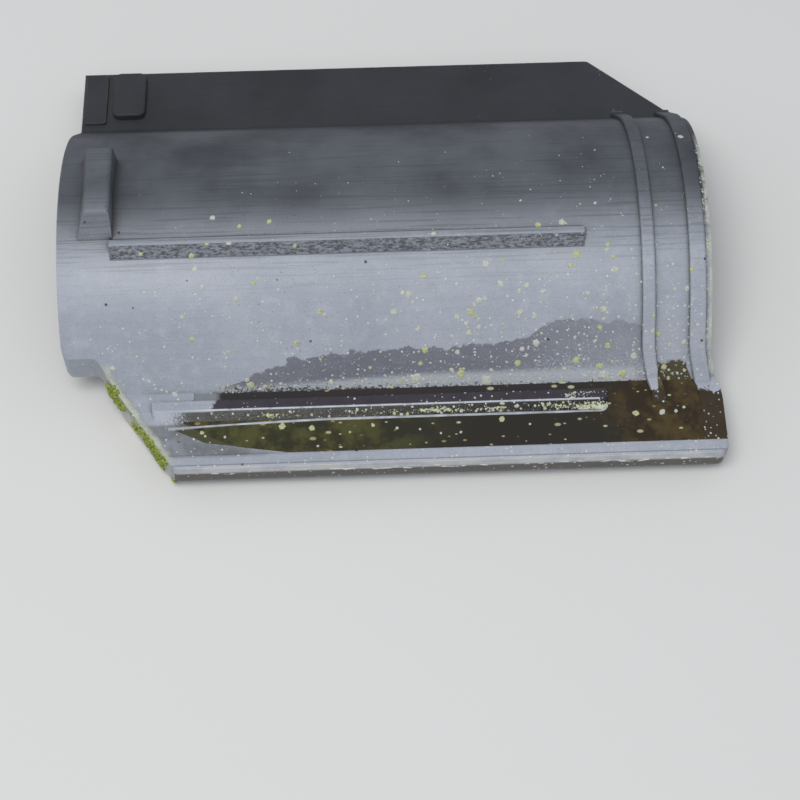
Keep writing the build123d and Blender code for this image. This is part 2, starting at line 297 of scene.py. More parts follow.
# %% [markdown]
# Fired clay
#
# The tile is unglazed clay, coloured through with a dark pigment, pressed in a mould and fired.
# Its skin is matt, with a faint satin where the press plate touched it, so a roughness near 0.45
# and an IOR of 1.5 suit it. To the eye it gives a cool grey with soft clouds some centimetres
# wide, a fine sandy grain and drag lines from the press. Grain of 0.3 mm is too fine to show
# from here, so it is drawn 1.1 mm wide.
#
# The weather lies over that in coats. Their masks come from three sources: the place on the tile,
# noise, and how enclosed a spot is. Noise whose coordinates are squeezed along the tile gives
# marks that all run that way. Each noise has a size in millimetres, a detail and a roughness.

# %% Clay: coordinates and noises
clay_material, clay = new_material("fired_clay")
clay_place = add_node(clay, "TexCoord", output="Object")
along, across, height = add_node(clay, "SeparateXYZ", {0: clay_place}).node.outputs
wide_cloud, small_cloud, ragged, sand_grain, drop_noise, fringe_noise, front_noise, cut_patch = [
    add_node(clay, "TexNoise", {"Vector": clay_place, "Scale": 1 / (size * MM), "Detail": detail,
                                "Roughness": rough})
    for size, detail, rough in ((60, 5.0, 0.5), (9, 5.0, 0.65), (14, 8.0, 0.62), (1.1, 3.0, 0.7),
                                (1.5, 3.0, 0.7), (2.0, 4.0, 0.75), (1.5, 4.0, 0.7), (7, 8.0, 0.8))]
drag_noise, sandy_noise, crust_cloud, dots_noise = [
    add_node(clay, "TexNoise", {
        "Vector": add_node(clay, "VectorMath", {0: clay_place, 1: (squeeze, 1.0, 1.0)}, **TIMES),
        "Scale": 1 / (size * MM), "Detail": detail, "Roughness": rough})
    for squeeze, size, detail, rough in ((0.025, 1.5, 2.0, 0.5), (0.45, 1.5, 4.0, 0.75),
                                         (0.35, 7, 2.0, 0.5), (0.3, 2.2, 3.0, 0.5))]
print("clay sources", len(clay.nodes))

# %% Clay: body colour
cloud_mask = region(clay, (wide_cloud, 0.35, 0.65))
body = add_node(clay, "Mix", {0: cloud_mask, 6: srgb("959aa3"), 7: srgb("9fa3ac")}, 2, **COLOUR)
patch_mask = region(clay, (small_cloud, 0.45, 0.75), 0.6)
grain_mask = region(clay, (sand_grain, 0.52, 0.72), 0.4)
body = lay_coats(clay, body, [(patch_mask, "aaaeb7"), (grain_mask, "6d7078")])
print("clay nodes with the body", len(clay.nodes))

# %% [markdown]
# Drag lines are long, thin marks, so their noise is squeezed forty to one. They show best high on
# the far flank.

# %% Clay: drag lines of the press
drag_mask = region(clay, (drag_noise, 0.52, 0.66), (across, -60 * MM, -20 * MM, 0.12, 0.9))
body = lay_coats(clay, body, [(region(clay, drag_mask, 0.5), "5c5f66")])

# %% [markdown]
# The far side of the pan and the flange are darker: partly soot, which gathers where they stay
# damp, and partly painted shade, as if that side lay in shadow. The colour turns slowly over the
# crest, and clouds break up the change.

# %% Clay: soot and painted shade on the far side and the flange
soot_and_shade_mask = region(clay, (across, -48 * MM, 8 * MM), (wide_cloud, 0.3, 0.7, 0.8, 1.0))
flange_soot_and_shade_mask = region(clay, (across, 70 * MM, 104 * MM), 0.85)
body = lay_coats(clay, body, [(soot_and_shade_mask, "373a3f"), (flange_soot_and_shade_mask, "25262a")])

# %% [markdown]
# Roots and corners are painted darker, as painted shade. Blender's Ambient Occlusion node measures
# how enclosed a spot is within a few millimetres, and so finds every root and corner. Turned
# inside out, the same node finds the outer edges, where handling has worn the clay paler.

# %% Clay: painted shade in corners, worn edges
open_sky = add_node(clay, "AmbientOcclusion", {"Distance": 8 * MM}, "AO", samples=6, only_local=True)
# Painted shade: the more enclosed a spot is, the darker it is painted.
corner_shade = region(clay, (open_sky, 0.92, 0.45), (small_cloud, 0.3, 0.55, 0.45, 1.0), 0.85)
edge_open = add_node(clay, "AmbientOcclusion", {"Distance": 2 * MM}, "AO", samples=4, inside=True,
                     only_local=True)
edge_wear = region(clay, (edge_open, 0.6, 0.25), (ragged, 0.42, 0.6), 0.6)
body = lay_coats(clay, body, [(corner_shade, "3a3937"), (edge_wear, "b4b6b8")])

# %% [markdown]
# The leaning face of the bar on the pan was never touched by the press plate. It kept the sand
# of the mould and is a dark, rough strip, with a pale line of painted highlight along its upper
# edge. A dark line of painted shade runs along the root behind the bar.

# %% Clay: sandy face of the bar on the pan
rest_face = (rim_edge + 117.2 * MM, rim_edge + 123.4 * MM)
rest_ends = (head + 32.5 * MM, head + 321.5 * MM)
rest_back = rim_edge + 129.6 * MM
rest_run = region(clay, (along, rest_ends[0] - hair, rest_ends[0]),
                  (along, rest_ends[1] + hair, rest_ends[1]))
sandy_mask = region(clay, rest_run, (across, rest_face[0], rest_face[0] + 0.8 * MM),
                    (across, rest_face[1], rest_face[1] - 0.4 * MM))
sandy_rough = region(clay, (sandy_noise, 0.38, 0.62))
# Behind the bar a line of painted shade, and along its upper edge a line of painted highlight.
back_shade_line = region(clay, (away_from(clay, across, rest_back), 1.1 * MM, 0.5 * MM), rest_run, 0.6)
arris_highlight_line = region(clay, (across, rest_face[1] - 0.4 * MM, rest_face[1] + 0.4 * MM),
                    (across, rest_face[1] + 2.0 * MM, rest_face[1] + 1.0 * MM), rest_run, 0.2)
body = lay_coats(clay, body, [
    (sandy_mask, "4d4e53", "8b8e95", sandy_rough), (back_shade_line, "2c2c2e"), (arris_highlight_line, "b4b7bd")])
print("sandy face", [round(v, 4) for v in rest_face])

# %% Clay: dark pits where grit fell out
pit_cells = add_node(clay, "TexVoronoi", {"Vector": clay_place, "Scale": 1 / (19 * MM)}, "Distance")
pit_mask = region(clay, (pit_cells, 0.06, 0.03))
plain_body = body = lay_coats(clay, body, [(pit_mask, "37383b")])

# %% [markdown]
# Water creeps up the flank from the trough and darkens the clay, with a sharp, ragged upper edge
# that climbs from the head towards the foot. A float curve holds that edge: how high the film
# reaches at each place along the tile. Fine bright droplets stand in its lower part.

# %% Clay: the wet film
film_reach = 80 * MM
film_ragged = 14 * MM
film_line = [(0.0, 0.0), (0.2, 0.0), (0.225, 0.09), (0.285, 0.2), (0.335, 0.26), (0.43, 0.31),
             (0.51, 0.32), (0.63, 0.33), (0.7, 0.36), (0.735, 0.42), (0.77, 0.44), (0.88, 0.42), (1.0, 0.4)]
tile_share = add_node(clay, "Math", {0: along, 1: 1 / (foot - head), 2: 0.5}, **TIMES_PLUS)
film_curve = add_node(clay, "FloatCurve", {"Value": tile_share})
curve_line = film_curve.node.mapping.curves[0]
while len(curve_line.points) < len(film_line):
    curve_line.points.new(0.5, 0.5)
for point, (share, reach) in zip(curve_line.points, film_line):
    point.location = (share, reach)
film_curve.node.mapping.update()
film_top = add_node(clay, "Math", {0: film_curve, 1: film_reach, 2: flank_foot - film_ragged}, **TIMES_PLUS)
film_edge = add_node(clay, "Math", {0: ragged, 1: film_ragged, 2: film_top}, **TIMES_PLUS)
film_depth = add_node(clay, "Math", {0: film_edge, 1: across}, **MINUS)
before_bars = region(clay, (along, foot_bar + 1 * MM, foot_bar))
film_mask = region(clay, (film_depth, 0.0, 1.0 * MM), (height, water_level - 4 * MM, water_level - 3 * MM),
                   (across, flank_foot - 5 * MM, flank_foot - 3.5 * MM), before_bars)
film_paint = region(clay, film_mask, (along, 60 * MM, 140 * MM, 1.0, 0.5))
body = add_node(clay, "Mix", {0: film_paint, 6: body, 7: srgb("b4b1b5")}, 2, blend_type="MULTIPLY", **COLOUR)
print("film line of", len(curve_line.points), "points")

# %% Clay: droplets in the film
drop_low = region(clay, (film_depth, 4 * MM, 26 * MM, 0.0, 0.16))
drop_level = add_node(clay, "Math", {0: drop_noise, 1: drop_low}, **PLUS)
drop_mask = region(clay, (drop_level, 0.62, 0.7), film_mask, 0.75)
body = lay_coats(clay, body, [(drop_mask, "a4a7ad")])

# %% [markdown]
# At the very foot of the flank a thicker film of water stands on the clay. It mirrors the bright
# sky overhead, and its pale colour is partly a crust of lime dried along it and partly painted
# reflection of that sky. Its lower edge is ragged and black, most of all towards the head.

# %% Clay: bright band at the foot of the flank, lime and painted reflection
band_foot = flank_foot + 1.2 * MM
band_place = add_node(clay, "Math", {0: sand_grain, 1: 2.4 * MM, 2: across}, **TIMES_PLUS)
band_top = add_node(clay, "MapRange", {
    0: along, 1: head + 110 * MM, 2: head + 230 * MM, 3: band_foot + 4.6 * MM, 4: band_foot + 8.5 * MM})
band_under = add_node(clay, "Math", {0: band_top, 1: band_place}, **MINUS)
band_length = region(clay, (along, soak_start - 6 * MM, soak_start + 10 * MM),
                     (along, foot_bar + 0.5 * MM, foot_bar - 5.5 * MM))
band_sheen_mask = region(clay, (band_place, band_foot - 0.6 * MM, band_foot + 0.6 * MM),
                   (band_under, 0.0, 3.5 * MM), band_length)
fringe_low = add_node(clay, "MapRange", {
    0: across, 1: flank_foot + 4.5 * MM, 2: flank_foot - 0.5 * MM, 3: -0.1, 4: 0.2})
fringe_head = add_node(clay, "MapRange", {
    0: along, 1: head + 300 * MM, 2: head + 150 * MM, 3: -0.08, 4: 0.03})
fringe_more = add_node(clay, "Math", {0: fringe_low, 1: fringe_head}, **PLUS)
fringe_level = add_node(clay, "Math", {0: fringe_noise, 1: fringe_more}, **PLUS)
fringe_mask = region(clay, (fringe_level, 0.56, 0.64), (across, flank_foot - 3 * MM, flank_foot - 2 * MM),
                     band_length, 0.9)
# The band's pale tone is partly lime and partly painted reflection of the sky.
body = lay_coats(clay, body, [(region(clay, band_sheen_mask, 0.85), "a9adb2"), (fringe_mask, "2b2928")])

# %% [markdown]
# What stands within a few millimetres of the water is soaked through and nearly black: the bar in
# the trough, the crevice behind it and the foot end of the trough, which is brown with silt. The
# head end of the bar stays dry, with a ragged limit.

# %% Clay: soaked parts round the pool
soak_foot = add_node(clay, "MapRange", {0: along, 1: head + 352 * MM, 2: head + 354 * MM})
soak_reach = add_node(clay, "Math", {0: ragged, 1: 44 * MM, 2: -30 * MM}, **TIMES_PLUS)
soak_creep = add_node(clay, "Math", {0: soak_foot, 1: soak_reach}, **TIMES)
soak_limit = add_node(clay, "Math", {0: band_place, 1: soak_creep}, **MINUS)
soak_place = add_node(clay, "Math", {0: small_cloud, 1: 16 * MM, 2: along}, **TIMES_PLUS)
bar_side = region(clay, (across, bar_shore - 0.5 * MM - hair, bar_shore - 0.5 * MM))
past_shelf = region(clay, (along, head + 135 * MM, head + 150 * MM))
off_shelf = add_node(clay, "Math", {0: bar_side, 1: past_shelf}, **LARGEST)
soak_mask = region(clay, (across, rim_inside - 0.4 * MM, rim_inside + 0.4 * MM),
                   (soak_limit, band_foot + 0.6 * MM, band_foot - 0.6 * MM),
                   (soak_place, soak_start + 7.5 * MM, soak_start + 9.5 * MM), off_shelf,
                   (height, water_level + 6 * MM, water_level + 5 * MM))
silt_mask = region(clay, soak_mask, soak_foot)
body = lay_coats(clay, body, [
    (soak_mask, "2f2c30", "464248", small_cloud), (silt_mask, "29231b", "463a2a", small_cloud)])
print("clay nodes with the soaked parts", len(clay.nodes))

# %% [markdown]
# Brown algae coat the flank just above the water, and between the two bars across the foot they
# climb more than a centimetre. The front of the bar in the trough is black with algae, and a row
# of pale crust has settled along its middle, thickest towards the foot.

# %% Clay: brown algae above the water line
above_water = add_node(clay, "Math", {0: height, 1: water_level}, **MINUS)
gap_lean = add_node(clay, "MapRange", {0: across, 1: flank_foot + 6 * MM, 2: flank_foot - 5 * MM, 4: 6 * MM})
gap_place = add_node(clay, "Math", {0: along, 1: gap_lean}, **MINUS)
gap_mask = region(clay, (along, foot_gap[0] - 0.8 * MM, foot_gap[0]),
                  (gap_place, foot_gap[1] + 0.6 * MM, foot_gap[1] - 0.8 * MM))
climb = add_node(clay, "MapRange", {0: gap_mask, 3: 0.2 * MM, 4: 10.5 * MM})
climb_rough = add_node(clay, "MapRange", {0: ragged, 1: 0.3, 2: 0.7, 3: 0.0, 4: 5 * MM})
climb_edge = add_node(clay, "Math", {0: climb, 1: climb_rough}, **PLUS)
algae_depth = add_node(clay, "Math", {0: climb_edge, 1: above_water}, **MINUS)
off_bars = add_node(clay, "Math", {0: before_bars, 1: gap_mask}, **LARGEST)
algae_mask = region(clay, (algae_depth, 3.0 * MM, 4.2 * MM), (along, head + 300 * MM, head + 345 * MM),
                    (across, flank_foot - 8 * MM, flank_foot - 5 * MM),
                    (across, flank_foot + 30 * MM + hair, flank_foot + 30 * MM), off_bars)
body = lay_coats(clay, body, [(algae_mask, "2a2115", "57502c", fringe_noise)])

# %% Clay: algae and crust on the front of the bar
front_ragged = add_node(clay, "Math", {0: front_noise, 1: 34 * MM, 2: along}, **TIMES_PLUS)
front_mask = region(clay, (across, bar_shore - 3.5 * MM, bar_shore - 1.5 * MM),
                    (across, bar_arris - 0.2 * MM, bar_arris - 1.6 * MM),
                    (front_ragged, head + 82 * MM, head + 94 * MM),
                    (along, bar_foot + 2.5 * MM + hair, bar_foot + 2.5 * MM))
front_mottle = region(clay, (front_noise, 0.42, 0.62))
crust_away = away_from(clay, across, bar_shore + 3.4 * MM)
crust_level = add_node(clay, "MapRange", {0: crust_away, 1: 0.5 * MM, 2: 4.5 * MM, 3: 0.14, 4: -0.12})
for crust_source, crust_share in ((front_noise, 0.9), (crust_cloud, 0.75)):
    crust_level = add_node(clay, "Math", {0: crust_source, 1: crust_share, 2: crust_level}, **TIMES_PLUS)
crust_end = add_node(clay, "MapRange", {0: along, 1: bar_foot - 75 * MM, 2: bar_foot - 15 * MM, 4: 0.12})
crust_start = add_node(clay, "MapRange", {0: along, 1: head + 84 * MM, 2: head + 100 * MM, 3: -0.2, 4: 0.0})
for crust_more in (crust_end, crust_start):
    crust_level = add_node(clay, "Math", {0: crust_level, 1: crust_more}, **PLUS)
crust_mask = region(clay, (crust_level, 0.99, 1.06), front_mask)
body = lay_coats(clay, body, [
    (front_mask, "1b1a1b", "33332b", front_mottle), (crust_mask, "a9ad72", "d4d3bf", small_cloud)])

# %% [markdown]
# Thin lines mark two edges: a pale line of painted highlight along the front edge of the bar in
# the trough, and a dark line just inside the arris of the rim. The face of the rim is painted pale
# above, a painted reflection of the bright ground in front of it, and stained brown below, with a
# row of white lime spots between.

# %% Clay: painted highlight along the wet edge of the bar
# The pale line is a painted highlight: the sky caught in the wet front edge of the bar.
arris_glint_mask = region(clay, (away_from(clay, across, bar_arris), 0.75 * MM, 0.35 * MM),
                   (along, head + 70 * MM, head + 92 * MM, 0.15, 1.0),
                   (along, bar_foot - 5 * MM + hair, bar_foot - 5 * MM),
                   (small_cloud, 0.3, 0.5, 0.45, 0.95))
body = lay_coats(clay, body, [(arris_glint_mask, "b9bcc4")])

# %% Clay: face of the rim and the line inside its arris
rim_front = region(clay, (across, rim_edge + 1.6 * MM, rim_edge + 1.0 * MM))
rim_face = region(clay, rim_front, (height, rim_top - 5.5 * MM, rim_top - 8.0 * MM))
# The pale upper band of the rim's face is painted reflection of the bright ground in front.
rim_reflection = region(clay, rim_front, (height, rim_top - 7.5 * MM, rim_top - 5.0 * MM),
                  (ragged, 0.35, 0.6, 0.35, 0.9))
dots_away = away_from(clay, height, rim_top - 6.6 * MM)
dots_rise = region(clay, (dots_away, 3.0 * MM, 0.4 * MM, -0.15, 0.08))
dots_level = add_node(clay, "Math", {0: dots_noise, 1: dots_rise}, **PLUS)
dots_mask = region(clay, (dots_level, 0.61, 0.67), rim_front, 0.9)
rim_line = region(clay, (across, rim_edge + 3.4 * MM, rim_edge + 2.9 * MM),
                  (across, rim_edge + 2.1 * MM, rim_edge + 2.5 * MM), 0.55)
body = lay_coats(clay, body, [(rim_face, "403d3b", "66635f", small_cloud), (rim_reflection, "c6c5c3"),
                              (dots_mask, "e4e4e0"), (rim_line, "55565a")])

# %% Clay: dull shelf beside the pool
shelf_mask = region(clay, (across, rim_inside - 3.2 * MM, rim_inside + 0.5 * MM),
                    (across, bar_shore + 0.5 * MM, bar_shore - 2 * MM),
                    (along, head + 145 * MM, head + 105 * MM), (ragged, 0.3, 0.7, 0.45, 0.9))
body = lay_coats(clay, body, [(shelf_mask, "55585a")])

# %% [markdown]
# The shelf slopes gently into the pool, and the last film of water stands on the clay itself. The
# clay is as dark and smooth as the pool there, out to a shore line that bends round to the rim.
# Of the two straight lines through the three shore points, the one farther across draws it.

# %% Clay: film of water on the shelf
olive_deep, olive_pale = "302e1f", "4b4a29"
lime_glint_joins = head + 165 * MM
shore_parts = [
    add_node(clay, "MapRange", {0: along, 1: start[0], 2: end[0], 3: start[1], 4: end[1]}, clamp=False)
    for start, end in ((shore_tip, shore_bend), (shore_bend, shore_rim))]
shore_line = add_node(clay, "Math", {0: shore_parts[0], 1: shore_parts[1]}, **LARGEST)
past_shore = add_node(clay, "Math", {0: across, 1: shore_line}, **MINUS)
wet_back = add_node(clay, "MapRange", {
    0: along, 1: shore_tip[0], 2: lime_glint_joins, 3: bar_shore - 4.5 * MM, 4: bar_shore - 0.9 * MM})
before_back = add_node(clay, "Math", {0: wet_back, 1: across}, **MINUS)
wet_shelf = region(clay, (past_shore, 0.0, 0.5 * MM), (before_back, -0.3 * MM, 0.3 * MM),
                   (along, shore_rim[0] + hair, shore_rim[0]))
body = lay_coats(clay, body, [(wet_shelf, olive_deep, olive_pale, small_cloud)])

# %% Clay: pale crust along the foot edge
foot_line = foot - 6 * MM
foot_mask = region(clay, (along, foot_line - 2.6 * MM, foot_line - 1.2 * MM),
                   (across, flank_foot, flank_foot + 6 * MM), (across, 60 * MM, 20 * MM),
                   (ragged, 0.38, 0.55, 0.15, 0.9))
body = lay_coats(clay, body, [(foot_mask, "8f9388", "c9cbc2", small_cloud)])

# %% [markdown]
# The sawn face of the cut corner holds the damp. A grey-green crust covers its upper edge and
# spreads a few millimetres over the top, and the face itself is stained green under the moss.

# %% Clay: crust and green stain on the cut corner
cut_from = Vector((head + 21 * MM, rim_edge + 69 * MM, 0))
cut_to = Vector((head + 68 * MM, rim_edge + 0.5 * MM, 0))
cut_way = (cut_to - cut_from).normalized()
cut_inward = Vector((-cut_way.y, cut_way.x, 0))
cut_span = add_node(clay, "VectorMath", {0: clay_place, 1: cut_from}, **MINUS)
cut_depth = add_node(clay, "VectorMath", {0: cut_span, 1: cut_inward}, 1, operation="DOT_PRODUCT")
cut_course = add_node(clay, "VectorMath", {0: cut_span, 1: cut_way}, 1, operation="DOT_PRODUCT")
cut_near = add_node(clay, "Math", {0: cut_depth}, **WITHOUT_SIGN)
cut_crust = region(clay, (cut_near, 10 * MM, 1.0 * MM, 0.0, 0.55))
cut_spread = add_node(clay, "Math", {0: cut_patch, 1: cut_crust}, **PLUS)
cut_length = region(clay, (cut_course, 2 * MM, 12 * MM), (cut_course, 82 * MM, 72 * MM))
cut_mask = region(clay, (cut_spread, 0.78, 1.05), cut_length, 0.85)
stain_mask = region(clay, (cut_near, 0.7 * MM, 0.3 * MM), (cut_patch, 0.4, 0.6), cut_length, 0.8)
body = lay_coats(clay, body, [(cut_mask, "8f9282", "d0d2c4", sand_grain), (stain_mask, "59652f")])
print("cut corner", round((cut_to - cut_from).length / MM, 1), "mm long")

# %% [markdown]
# All these coats belong to the side that lies open to the sky. The side that faces the floor
# keeps the plain look of the body.

# %% Clay: the plain side
facing = add_node(clay, "SeparateXYZ", {0: add_node(clay, "TexCoord", output="Normal")}, 2)
faces_down = region(clay, (facing, -0.3, -0.5))
body = add_node(clay, "Mix", {0: faces_down, 6: body, 7: plain_body}, 2, **COLOUR)

# %% [markdown]
# Fine pale specks of lime and young lichen lie over everything, wet or dry. Voronoi cells place
# them: each cell may hold one speck, its random number decides whether and how large, and clouds
# gather them in groups, denser towards the trough and the foot. A second, finer layer powders the
# lower flank and the rim.


# %% Clay: pale specks
def specks(tree, place, cell, limit, reach, sizes, softness, strength):
    """Mask of round specks and a second random number of each.

    Of the Voronoi cells, of this size in metres, those with a random number over the limit hold
    one. It is the larger, the more the number is over, up to the reach. Sizes are shares of a cell.
    """
    to_middle, colour = add_node(tree, "TexVoronoi", {"Vector": place, "Scale": 1 / cell}).node.outputs[:2]
    chance, other = add_node(tree, "SeparateColor", {0: colour}).node.outputs[:2]
    over = add_node(tree, "Math", {0: chance, 1: limit}, **MINUS)
    size = add_node(tree, "MapRange", {0: over, 1: 0.0, 2: reach, 3: sizes[0], 4: sizes[1]})
    edge = add_node(tree, "Math", {0: size, 1: to_middle}, **MINUS)
    return region(tree, (edge, 0.0, softness), (over, 0.0, 0.001), strength), other


speck_low = region(clay, (across, 0.0, -85 * MM, -0.25, 0.12))
speck_foot = region(clay, (along, -120 * MM, 100 * MM, -0.1, 0.08))
speck_group = ragged
for speck_more in (speck_low, speck_foot):
    speck_group = add_node(clay, "Math", {0: speck_group, 1: speck_more}, **PLUS)
speck_limit = add_node(clay, "MapRange", {0: speck_group, 1: 0.3, 2: 0.7, 3: 0.98, 4: 0.2})
speck_mask = specks(clay, clay_place, 3.4 * MM, speck_limit, 0.4, (0.03, 0.26), 0.06, 0.85)[0]
dust_limit = region(clay, (across, -35 * MM, -95 * MM, 1.0, 0.72))
dust_mask = specks(clay, clay_place, 2.3 * MM, dust_limit, 0.25, (0.08, 0.26), 0.08, 0.7)[0]
body = lay_coats(clay, body, [(speck_mask, "c6c8bd"), (dust_mask, "bfc2c2")])

# %% [markdown]
# Wet clay is smooth to the light, so the films, the bright band and the soaked parts are glossier
# than the dry skin. Where water closes over the clay its IOR is that of water, 1.33, and loose
# soot makes the skin duller, which an IOR of 1.4 and more roughness give. The bump is kept
# shallow. Each source of it has its own real height, in millimetres.

# %% Clay: gloss
wet_all = film_mask
for wet_mask in (soak_mask, band_sheen_mask, wet_shelf):
    wet_all = add_node(clay, "Math", {0: wet_all, 1: wet_mask}, **LARGEST)
gloss = region(clay, (small_cloud, 0.3, 0.7, 0.40, 0.52))
for gloss_mask, roughness in ((wet_all, 0.2), (sandy_mask, 0.8), (crust_mask, 0.9)):
    gloss = add_node(clay, "Mix", {0: gloss_mask, 2: gloss, 3: roughness}, **NUMBER)
gloss = add_node(clay, "Math", {0: soot_and_shade_mask, 1: 0.18, 2: gloss}, **TIMES_PLUS)
clay_ior = 1.5
for ior_mask, ior in ((soot_and_shade_mask, 1.4), (soak_mask, 1.33)):
    clay_ior = add_node(clay, "Mix", {0: ior_mask, 2: clay_ior, 3: ior}, **NUMBER)

# %% Clay: bump
relief = 0.0
for rise_source, rise in (
        (sand_grain, 0.12), (small_cloud, 0.25), (region(clay, film_mask, sand_grain), 0.35),
        (drag_mask, -0.12), (pit_mask, -0.6), (region(clay, sandy_mask, sandy_noise), 1.2),
        (speck_mask, 0.25), (crust_mask, 0.5), (region(clay, cut_mask, cut_patch), 0.9)):
    relief = add_node(clay, "Math", {0: rise_source, 1: rise * MM, 2: relief}, **TIMES_PLUS)
clay_bump = add_node(clay, "Bump", {"Height": relief, "Strength": 0.8, "Distance": 1.0})

# %% Clay: the finished shader
clay_shader = add_node(clay, "BsdfPrincipled", {
    "Base Color": body, "Roughness": gloss, "IOR": clay_ior, "Normal": clay_bump})
add_node(clay, "OutputMaterial", {"Surface": clay_shader})
tile.data.materials.clear()
tile.data.materials.append(clay_material)
print("clay nodes", len(clay.nodes))

# %% [markdown]
# Rain water
#
# Rain stands in the trough between the rim, the shelf at the head and the dam at the foot, and
# the bar lies in it like an island. It is brown with silt and algae and hides the clay below, so
# an opaque body does, and only its skin has to be right: very smooth, with the weak mirror of
# water, IOR 1.33. The piece is a shallow slab whose edges run into the clay, so that the clay
# itself draws the shore line. It is olive at the head, nearly black in the middle and brown at
# the foot, with yellow and brown flecks of algae. Behind the bar it is silted up at its head end.

# %% Rain water: material
murk_material, murk = new_material("murky_water")
murk_place = add_node(murk, "TexCoord", output="Object")
murk_along, murk_across = add_node(murk, "SeparateXYZ", {0: murk_place}).node.outputs[:2]
murk_cloud = add_node(murk, "TexNoise", {"Vector": murk_place, "Scale": 1 / (26 * MM), "Detail": 5.0})
murk_drift = add_node(murk, "Math", {0: murk_cloud, 1: 60 * MM, 2: murk_along}, **TIMES_PLUS)
murk_patch = add_node(murk, "TexNoise", {
    "Vector": murk_place, "Scale": 1 / (15 * MM), "Detail": 6.0, "Roughness": 0.7})
murk_mottle = region(murk, (murk_patch, 0.4, 0.62))
murk_middle = region(murk, (murk_drift, head + 190 * MM, head + 290 * MM))
murk_foot = region(murk, (murk_drift, head + 350 * MM, head + 385 * MM))
murk_crevice = region(murk, (murk_across, bar_arris + 2 * MM, bar_arris + 6 * MM),
                      (murk_along, bar_foot, bar_foot - 25 * MM))
murk_silted = region(murk, (murk_drift, head + 128 * MM, head + 116 * MM), murk_crevice)
murk_tone = add_node(murk, "Mix", {0: murk_mottle, 6: srgb(olive_deep), 7: srgb(olive_pale)}, 2, **COLOUR)
murk_tone = lay_coats(murk, murk_tone, [
    (murk_middle, "2b2822"), (murk_foot, "2f2619", "4a3d22", murk_mottle),
    (murk_crevice, "302c2b"), (murk_silted, "7b7e84")])
fleck_place = add_node(murk, "VectorMath", {0: murk_place, 1: (0.55, 1.0, 1.0)}, **TIMES)
for fleck_cell, fleck_limit, fleck_largest in ((2.6 * MM, 0.72, 0.36), (5.5 * MM, 0.62, 0.27)):
    fleck_mask, fleck_hue = specks(murk, fleck_place, fleck_cell, fleck_limit, 1 - fleck_limit,
                                   (0.0, fleck_largest), 0.1, 0.8)
    murk_tone = lay_coats(murk, murk_tone, [(fleck_mask, "c3c49a", "8a7642", fleck_hue)])
murk_wave = add_node(murk, "TexNoise", {"Vector": murk_place, "Scale": 1 / (40 * MM), "Detail": 1.0})
murk_bump = add_node(murk, "Bump", {"Height": murk_wave, "Strength": 0.1, "Distance": 0.4 * MM})
murk_shader = add_node(murk, "BsdfPrincipled", {
    "Base Color": murk_tone, "Roughness": 0.04, "IOR": 1.33, "Normal": murk_bump})
add_node(murk, "OutputMaterial", {"Surface": murk_shader})
print("water nodes", len(murk.nodes))


# %% Putting a piece on the tile
def put_on_tile(name, mesh, material):
    """Turn a bmesh into a smooth piece that rides on the tile."""
    bmesh.ops.recalc_face_normals(mesh, faces=mesh.faces)
    data = bpy.data.meshes.new(name)
    mesh.to_mesh(data)
    mesh.free()
    data.materials.append(material)
    data.polygons.foreach_set("use_smooth", [len(face.vertices) < 5 for face in data.polygons])
    piece = new_object(name, data)
    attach(piece, "root")
    print(name, "has", len(data.polygons), "faces")


# %% Rain water: the pool
pool_depth = 3 * MM
pool_ends = (shore_tip[0] - 3 * MM, foot - 10 * MM)
pool_sides = (rim_edge + 6 * MM, flank_foot + 6 * MM)
pool_plan = [shore_tip, shore_bend, shore_rim, (shore_rim[0] + 4 * MM, pool_sides[0]),
             (pool_ends[1], pool_sides[0]), (pool_ends[1], pool_sides[1]), (pool_ends[0], pool_sides[1])]
pool_corners = [Vector((x, y, water_level)) for x, y in pool_plan]
pool_mesh = bmesh.new()
pool_face = pool_mesh.faces.new([pool_mesh.verts.new(corner) for corner in pool_corners])
pool_floor = bmesh.ops.extrude_face_region(pool_mesh, geom=[pool_face])
pool_moved = [item for item in pool_floor["geom"] if isinstance(item, bmesh.types.BMVert)]
bmesh.ops.translate(pool_mesh, verts=pool_moved, vec=(0, 0, -pool_depth))
put_on_tile("rain_pool", pool_mesh, murk_material)

# %% [markdown]
# A pale, glossy line floats along the bar's front, where the water climbs the clay, and bends
# round the end of the bar. Its pale colour is partly lime and partly painted reflection of the
# bright sky in the climbing water. It is a thin, domed ribbon. Its course is found by probing: at
# each step along the bar, the place where the clay comes up through the water. Towards the head it
# strays from the bar and ends on the bare shelf.

# %% Glint line: material, pale for lime and painted reflection
lime_glint_material, lime_glint_nodes = new_material("lime_and_glint")
lime_glint_place = add_node(lime_glint_nodes, "TexCoord", output="Object")
lime_glint_cloud = add_node(lime_glint_nodes, "TexNoise", {"Vector": lime_glint_place, "Scale": 1 / (12 * MM), "Detail": 4.0})
lime_glint_turn = region(lime_glint_nodes, (lime_glint_cloud, 0.35, 0.65))
# Pale tones: partly lime, partly painted reflection of the sky.
lime_glint_tone = add_node(lime_glint_nodes, "Mix", {0: lime_glint_turn, 6: srgb("8f9298"), 7: srgb("b3b6bc")}, 2, **COLOUR)
lime_glint_shader = add_node(lime_glint_nodes, "BsdfPrincipled", {"Base Color": lime_glint_tone, "Roughness": 0.15, "IOR": 1.36})
add_node(lime_glint_nodes, "OutputMaterial", {"Surface": lime_glint_shader})


# %% Glint line: its course
open_water = bar_shore - 9 * MM


def shore_at(x):
    """Where the bar's front comes out of the water, across the tile."""
    y = open_water
    while y < bar_arris:
        found = under(x, y)
        if found and found[0].z > water_level:
            return y
        y += hair
    return bar_arris


